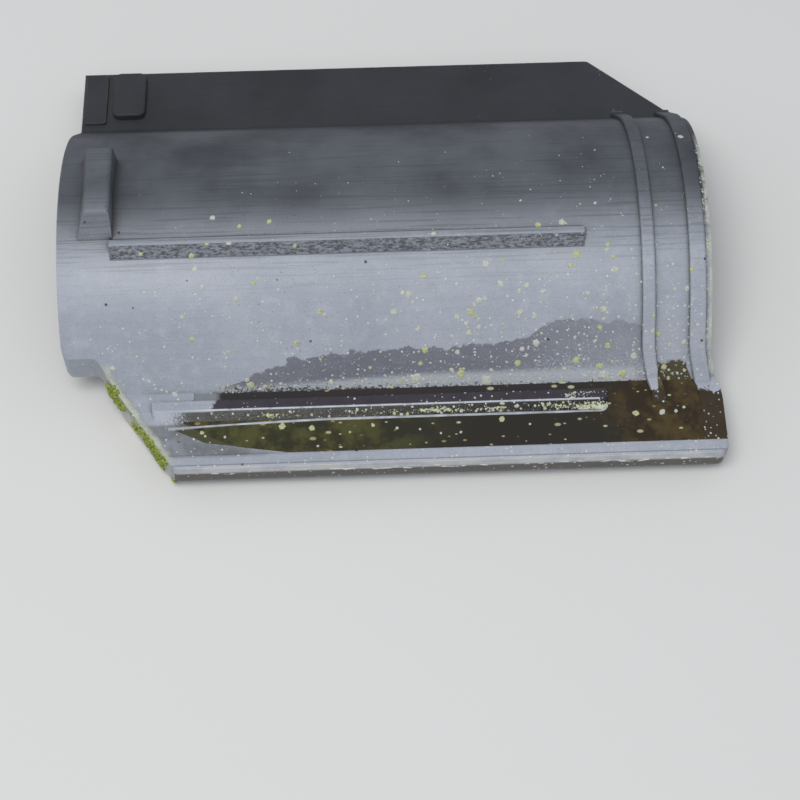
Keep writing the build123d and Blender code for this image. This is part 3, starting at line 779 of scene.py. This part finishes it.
lime_glint_step = 4 * MM
lime_glint_start = head + 64 * MM
lime_glint_strays = 3.6 * MM
lime_glint_off = 0.9 * MM
bar_out = head + 100 * MM
lime_glint_count = int((bar_foot - 4 * MM - lime_glint_start) / lime_glint_step)
lime_glint_course = []
for step in range(lime_glint_count + 1):
    x = lime_glint_start + step * lime_glint_step
    astray = max(0.0, (lime_glint_joins - x) / (lime_glint_joins - lime_glint_start)) ** 1.3
    y = shore_at(max(x, bar_out)) - lime_glint_off - lime_glint_strays * astray
    lime_glint_course.append(Vector((x, y, max(water_level, under(x, y)[0].z))))
turn_radius = 4.5 * MM
turn_middle = lime_glint_course[-1] + Vector((1 * MM, turn_radius, 0))
for degrees in range(-90, 15, 15):
    angle = math.radians(degrees)
    lime_glint_course.append(turn_middle + Vector((math.cos(angle), math.sin(angle), 0)) * turn_radius)
print("scum line of", len(lime_glint_course), "points")

# %% [markdown]
# The ribbon has four edges: two that dip under the water and two that form its dome. Their places
# are given as a share of its width to the side, and a height. It swells and thins at random, and
# is thickest at its head end.

# %% Glint line: the ribbon
lime_glint_width = 1.25 * MM
lime_glint_edges = ((1.0, -0.25 * MM), (0.35, 0.30 * MM), (-0.2, 0.45 * MM), (-0.7, -0.25 * MM))
lime_glint_mesh = bmesh.new()
lime_glint_rows = []
for index, point in enumerate(lime_glint_course):
    before = lime_glint_course[max(index - 1, 0)]
    after = lime_glint_course[min(index + 1, len(lime_glint_course) - 1)]
    side = (after - before).normalized().cross(Vector((0, 0, 1)))
    share = index / (len(lime_glint_course) - 1)
    swell = 0.75 + 0.35 * math.sin(share * math.pi) + 0.3 * noise.noise(point * 60)
    swell += 0.7 * math.exp(-share * 14)
    lime_glint_rows.append([lime_glint_mesh.verts.new(point + side * lime_glint_width * swell * out + Vector((0, 0, up)))
                      for out, up in lime_glint_edges])
for row, after in zip(lime_glint_rows, lime_glint_rows[1:]):
    for place in range(len(row)):
        other = (place + 1) % len(row)
        lime_glint_mesh.faces.new((row[place], row[other], after[other], after[place]))
lime_glint_mesh.faces.new(lime_glint_rows[0])
lime_glint_mesh.faces.new(lime_glint_rows[-1])
put_on_tile("lime_glint_line", lime_glint_mesh, lime_glint_material)

# %% [markdown]
# Lichen
#
# Crusts of lichen grow as flat rosettes, under a millimetre to seven across, with a lobed edge and
# a bumpy middle. They could be painted, but their thickness shows against the smooth clay, so
# each one is a small domed mesh whose points are dropped onto the surface. All crusts of one
# colour are joined into one mesh. Cream ones are the most common, then pale yellow-green ones.
# Dry growth is dull, so its roughness is 0.9, and its IOR of 1.4 is that of plant matter.


# %% Lichen: material
def growth_material(name, deep, main, bright, patch):
    """Dry, matt growth with a mottled colour; patch is the size of its mottling in metres."""
    material, growth = new_material(name)
    place = add_node(growth, "TexCoord", output="Object")
    mottle = add_node(growth, "TexNoise", {
        "Vector": place, "Scale": 1 / patch, "Detail": 5.0, "Roughness": 0.7})
    to_main = region(growth, (mottle, 0.32, 0.52))
    tone = add_node(growth, "Mix", {0: to_main, 6: srgb(deep), 7: srgb(main)}, 2, **COLOUR)
    tone = lay_coats(growth, tone, [(region(growth, (mottle, 0.52, 0.7)), bright)])
    bump = add_node(growth, "Bump", {"Height": mottle, "Strength": 0.7, "Distance": patch / 3})
    shader = add_node(growth, "BsdfPrincipled", {
        "Base Color": tone, "Roughness": 0.9, "IOR": 1.4, "Normal": bump})
    add_node(growth, "OutputMaterial", {"Surface": shader})
    return material


cream_crust = growth_material("cream_lichen", "9a9c91", "b9bbae", "cfd0c3", 1.0 * MM)
yellow_crust = growth_material("yellow_lichen", "8b8e66", "b2b58a", "cacca8", 1.0 * MM)
print("lichen materials", cream_crust.name, yellow_crust.name)


# %% Lichen: one rosette laid on the surface
def lay_rosette(mesh, skin, place, normal, radius, rise, lobes):
    """Add a lobed, domed crust to a mesh, with its points dropped onto a skin."""
    side = normal.orthogonal().normalized()
    other = normal.cross(side)
    seed = Vector((random.random(), random.random(), random.random())) * 50
    rings = ((1.0, -0.1), (0.86, 0.7), (0.5, 1.0)) if radius > 0.9 * MM else ((1.0, -0.1), (0.6, 1.0))
    loops = []
    for share, level in rings:
        loop = []
        for step in range(lobes):
            angle = 2 * math.pi * step / lobes
            around = Vector((math.cos(angle), math.sin(angle), 0))
            wobble = 1.0 + 0.4 * noise.noise(around * 1.6 + seed) + 0.25 * noise.noise(around * 5 + seed)
            spot = place + (side * around.x + other * around.y) * radius * share * wobble
            found = skin.find_nearest(spot)
            lift = rise * level * (0.7 + 0.6 * random.random())
            loop.append(mesh.verts.new(found[0] + found[1] * lift))
        loops.append(loop)
    crown = mesh.verts.new(place + normal * rise * 0.85)
    for outer, inner in zip(loops, loops[1:]):
        for step in range(lobes):
            after = (step + 1) % lobes
            mesh.faces.new((outer[step], outer[after], inner[after], inner[step]))
    for step in range(lobes):
        mesh.faces.new((loops[-1][step], loops[-1][(step + 1) % lobes], crown))


# %% Lichen: the large ones, by the pixel that shows them and their radius in millimetres
yellow_spots = {(470, 312): 2.2, (475, 316): 1.5, (577, 254): 2.4, (424, 276): 1.9, (425, 350): 2.0,
                (518, 363): 2.1, (576, 360): 2.2, (600, 327): 1.7, (608, 346): 1.8, (600, 366): 2.1,
                (623, 373): 2.6, (461, 374): 2.5, (562, 385): 2.7, (658, 334): 1.6, (664, 367): 1.8,
                (251, 385): 2.1, (285, 395): 1.8, (296, 343): 1.6, (538, 225): 1.8, (502, 260): 1.3}
cream_spots = {(486, 264): 2.3, (409, 294): 2.1, (394, 312): 2.0, (479, 300): 2.0, (475, 305): 1.5,
               (466, 324): 1.7, (479, 327): 1.6, (469, 333): 1.7, (527, 285): 1.9, (519, 291): 1.6,
               (616, 269): 2.0, (604, 309): 2.1, (562, 222): 2.1, (536, 343): 2.3, (520, 312): 2.0,
               (603, 375): 3.0, (416, 378): 3.2, (487, 380): 3.0, (634, 356): 2.2, (202, 287): 1.7,
               (236, 299): 1.8, (182, 317): 1.5, (175, 394): 1.8, (684, 342): 1.6, (588, 293): 1.4}
yellow_mesh, cream_mesh = bmesh.new(), bmesh.new()
for spots, mesh in ((yellow_spots, yellow_mesh), (cream_spots, cream_mesh)):
    for pixel, radius in spots.items():
        found = probe(camera.location, aim_at(*pixel))
        if found:
            lay_rosette(mesh, tile_skin, found[0], found[1], radius * MM, 0.4 * MM, 20)
print("placed", len(yellow_spots) + len(cream_spots), "large crusts")


# %% Lichen: scattering the small ones
def field_density(x, y):
    """How likely a crust is on the pan: dense low on the flank and towards the foot."""
    low = max(0.0, min(1.0, (0.01 - y) / 0.11))
    near_foot = max(0.0, min(1.0, (x + 0.15) / 0.25))
    return (0.06 + 0.94 * low ** 2) * (0.25 + 0.75 * near_foot)


def band_density(x, y):
    """Patchy growth along the trough."""
    return 0.1 + 0.9 * max(0.0, noise.noise(Vector((x * 35, y * 90, 3.0))) + 0.4)


def scatter(mesh, count, small, large, lobes, span_x, span_y, density):
    """Scatter crusts over a part of the plan, most of them small; small and large are in millimetres."""
    laid = 0
    while laid < count:
        x, y = random.uniform(*span_x), random.uniform(*span_y)
        if random.random() > density(x, y):
            continue
        laid += 1
        found = under(x, y)
        if found is None or found[0].z < water_level + 0.2 * MM or found[1].z < 0.2:
            continue
        radius = (small + (large - small) * random.random() ** 3) * MM
        lay_rosette(mesh, tile_skin, found[0], found[1], radius, 0.15 * MM + 0.12 * radius, lobes)


pan_run = (head + 30 * MM, foot - 10 * MM)
pan_low = flank_foot + 4 * MM
scatter(cream_mesh, 130, 0.5, 1.9, 10, pan_run, (pan_low, 60 * MM), field_density)
scatter(yellow_mesh, 60, 0.5, 1.9, 10, pan_run, (pan_low, 50 * MM), field_density)
scatter(cream_mesh, 900, 0.2, 0.6, 6, pan_run, (pan_low, 20 * MM), field_density)
print("faces of lichen on the pan", len(cream_mesh.faces) + len(yellow_mesh.faces))

# %% [markdown]
# A few flakes of lichen have come loose and float on the rain water. They are laid the same way,
# on the level skin of the pool, each by the pixel that shows it.

# %% Lichen: flakes afloat in the pool
pool_skin = BVHTree.FromPolygons(pool_corners, [tuple(range(len(pool_corners)))])
floating_yellow = {(202, 433): 1.4, (282, 426): 2.2, (312, 428): 2.0, (373, 425): 1.3, (502, 419): 1.9,
                   (636, 413): 2.0, (350, 432): 0.9}
floating_cream = {(225, 437): 0.9, (318, 446): 0.8, (397, 428): 1.0, (461, 432): 0.9, (441, 433): 0.8,
                  (662, 412): 1.9, (676, 411): 1.2, (530, 424): 0.8, (420, 429): 0.8, (684, 407): 1.0}
for spots, mesh in ((floating_yellow, yellow_mesh), (floating_cream, cream_mesh)):
    for pixel, radius in spots.items():
        aim = aim_at(*pixel)
        place = camera.location + aim * ((water_level - camera.location.z) / aim.z)
        lay_rosette(mesh, pool_skin, place, Vector((0, 0, 1)), radius * MM, 0.35 * MM, 14)
print("flakes afloat", len(floating_yellow) + len(floating_cream))

# %% [markdown]
# The bar in the trough carries crusts just out of the water, most of them at its foot end, and so
# do the foot of the flank and the foot edge of the pan. They are the same rosettes, laid close
# together in narrow bands.

# %% Lichen: crust along the bar, the foot of the flank and the foot edge
bar_run = (bar_head + 25 * MM, bar_foot + 1 * MM)
bar_front = (bar_shore + 1.0 * MM, bar_arris - 1.0 * MM)
bar_end_run = (bar_foot - 26 * MM, bar_foot + 1 * MM)
bar_end_sides = (bar_arris - 6 * MM, bar_arris + 5 * MM)
flank_run = (soak_start, foot - 14 * MM)
flank_band = (flank_foot - 1.5 * MM, flank_foot + 5 * MM)
foot_run = (foot - 9.5 * MM, foot - 6.3 * MM)
for mesh, count, small, large, lobes, span_x, span_y in (
        (cream_mesh, 90, 0.3, 1.2, 8, bar_run, bar_front),
        (yellow_mesh, 30, 0.3, 1.2, 8, bar_run, bar_front),
        (cream_mesh, 110, 0.25, 0.8, 7, bar_end_run, bar_end_sides),
        (cream_mesh, 320, 0.25, 1.2, 7, flank_run, flank_band),
        (yellow_mesh, 90, 0.25, 1.3, 7, flank_run, flank_band),
        (cream_mesh, 240, 0.25, 0.9, 6, foot_run, (pan_low, 40 * MM)),
        (yellow_mesh, 25, 0.25, 0.9, 6, foot_run, (pan_low, -20 * MM))):
    scatter(mesh, count, small, large, lobes, span_x, span_y, band_density)
put_on_tile("lichen_cream", cream_mesh, cream_crust)
put_on_tile("lichen_yellow", yellow_mesh, yellow_crust)

# %% [markdown]
# Moss
#
# Moss keeps to the raw, damp face of the cut corner. From this distance it is a carpet of tiny
# rounded cushions, bright green at their tips. Each cushion is a small ball of points pushed in
# and out by noise and pressed against the face, and noise also leaves bare patches.

# %% Moss: cushions on the cut face
moss_material = growth_material("moss", "4a5423", "8b9844", "c0c56b", 1.6 * MM)
moss_mesh = bmesh.new()
cushion_count = 1000
cushion_sizes = (0.6 * MM, 1.7 * MM)
cut_height = 19 * MM
stand_off, farthest = 12 * MM, 30 * MM
bare_below = -0.18
for index in range(cushion_count):
    foot_point = cut_from.lerp(cut_to, random.uniform(0.1, 0.98))
    brink = under(*(foot_point + cut_inward * 2 * MM)[:2])
    if brink is None:
        continue
    drop = 0.5 * MM + cut_height * random.betavariate(1.2, 1.1)
    start = Vector((foot_point.x, foot_point.y, brink[0].z - drop)) - cut_inward * stand_off
    place, normal = tile_skin.ray_cast(start, cut_inward, farthest)[:2]
    if place is None or noise.noise(place * 70) < bare_below:
        continue
    radius = random.uniform(*cushion_sizes)
    ball = bmesh.ops.create_icosphere(moss_mesh, subdivisions=1, radius=radius)
    seed = Vector((index, 0, 0))
    for vertex in ball["verts"]:
        swell = 1 + 0.5 * noise.noise(vertex.co / radius * 1.5 + seed)
        vertex.co = place + normal * 0.1 * radius + vertex.co * swell
put_on_tile("moss_cushions", moss_mesh, moss_material)
